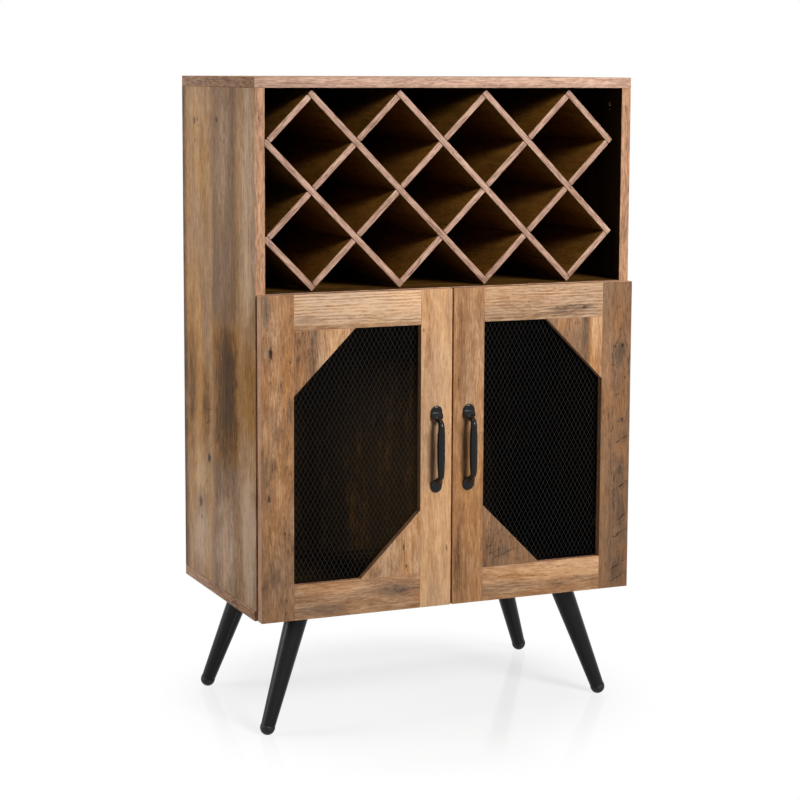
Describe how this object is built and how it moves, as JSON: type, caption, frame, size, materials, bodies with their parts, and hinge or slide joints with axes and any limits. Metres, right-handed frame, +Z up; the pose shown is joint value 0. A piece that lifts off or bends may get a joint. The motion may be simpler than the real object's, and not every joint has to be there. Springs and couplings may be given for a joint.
{
  "type": "wine rack cabinet",
  "caption": "Free-standing cabinet with a diamond lattice bottle rack over a cupboard with metal mesh doors, bar handles and splayed tapered legs.",
  "frame": {"origin": "on the floor, in the middle of the bounding box at rest", "axes": "+X to the right seen from the front, +Y from the front to the back, +Z up"},
  "size_m": [0.585, 0.3578, 0.93],
  "materials": {
    "carcass_wood": "rustic oak laminate, satin",
    "door_wood": "rustic oak laminate, satin",
    "rack_wood": "rustic oak laminate, satin",
    "hardboard": "printed hardboard, matte",
    "dowel_wood": "plain beech",
    "leg_lacquer": "black satin lacquer",
    "foot_plastic": "black",
    "handle_black": "black semi-gloss",
    "mesh_black": "black satin",
    "bracket_black": "black",
    "hinge_steel": "nickel plated",
    "screw_steel": "zinc plated"
  },
  "bodies": {
    "cabinet": {"back_panel": "hardboard", "bottom_panel": "carcass_wood", "cam_bolts": "hinge_steel", "cam_locks": "hinge_steel", "carcass_dowels": "dowel_wood", "front_left_foot_cap": "foot_plastic", "front_left_leg": "leg_lacquer", "front_right_foot_cap": "foot_plastic", "front_right_leg": "leg_lacquer", "hinge_arms": "hinge_steel", "hinge_plates": "hinge_steel", "left_side_panel": "carcass_wood", "leg_bolts": "screw_steel", "leg_brackets": "bracket_black", "middle_shelf": "carcass_wood", "panel_screws": "screw_steel", "rack_falling_board_1": "rack_wood", "rack_falling_board_2": "rack_wood", "rack_falling_board_3": "rack_wood", "rack_falling_board_4": "rack_wood", "rack_falling_board_5": "rack_wood", "rack_falling_board_6": "rack_wood", "rack_rising_board_1": "rack_wood", "rack_rising_board_2": "rack_wood", "rack_rising_board_3": "rack_wood", "rack_rising_board_4": "rack_wood", "rack_rising_board_5": "rack_wood", "rack_rising_board_6": "rack_wood", "rack_screws": "screw_steel", "rear_left_foot_cap": "foot_plastic", "rear_left_leg": "leg_lacquer", "rear_right_foot_cap": "foot_plastic", "rear_right_leg": "leg_lacquer", "right_side_panel": "carcass_wood", "top_panel": "carcass_wood"},
    "left_door": {"left_door_bottom_rail": "door_wood", "left_door_hinge_cups": "hinge_steel", "left_door_hinge_stile": "door_wood", "left_door_lower_gusset": "door_wood", "left_door_meeting_stile": "door_wood", "left_door_mesh": "mesh_black", "left_door_screws": "screw_steel", "left_door_top_rail": "door_wood", "left_door_upper_gusset": "door_wood", "left_handle": "handle_black", "left_handle_screws": "screw_steel"},
    "left_hinge_links": {"left_hinge_links": "hinge_steel"},
    "right_door": {"right_door_bottom_rail": "door_wood", "right_door_hinge_cups": "hinge_steel", "right_door_hinge_stile": "door_wood", "right_door_lower_gusset": "door_wood", "right_door_meeting_stile": "door_wood", "right_door_mesh": "mesh_black", "right_door_screws": "screw_steel", "right_door_top_rail": "door_wood", "right_door_upper_gusset": "door_wood", "right_handle": "handle_black", "right_handle_screws": "screw_steel"},
    "right_hinge_links": {"right_hinge_links": "hinge_steel"}
  },
  "joints": [
    {"name": "left_door_hinge", "type": "hinge", "parent": "cabinet", "child": "left_door", "pos_m": [-0.2905, -0.1559, 0.403], "axis": [0, 0, -1], "range_deg": [0, 95]},
    {"name": "left_link_pivot", "type": "hinge", "parent": "cabinet", "child": "left_hinge_links", "pos_m": [-0.2555, -0.1489, 0.403], "axis": [0, 0, 1], "range_deg": [0, 40]},
    {"name": "right_door_hinge", "type": "hinge", "parent": "cabinet", "child": "right_door", "pos_m": [0.2905, -0.1559, 0.403], "axis": [0, 0, 1], "range_deg": [0, 95]},
    {"name": "right_link_pivot", "type": "hinge", "parent": "cabinet", "child": "right_hinge_links", "pos_m": [0.2555, -0.1489, 0.403], "axis": [0, 0, -1], "range_deg": [0, 40]}
  ],
  "couplings": [
    {"joint": "left_link_pivot", "follows": "left_door_hinge", "ratio": 0.414},
    {"joint": "right_link_pivot", "follows": "right_door_hinge", "ratio": 0.414}
  ]
}
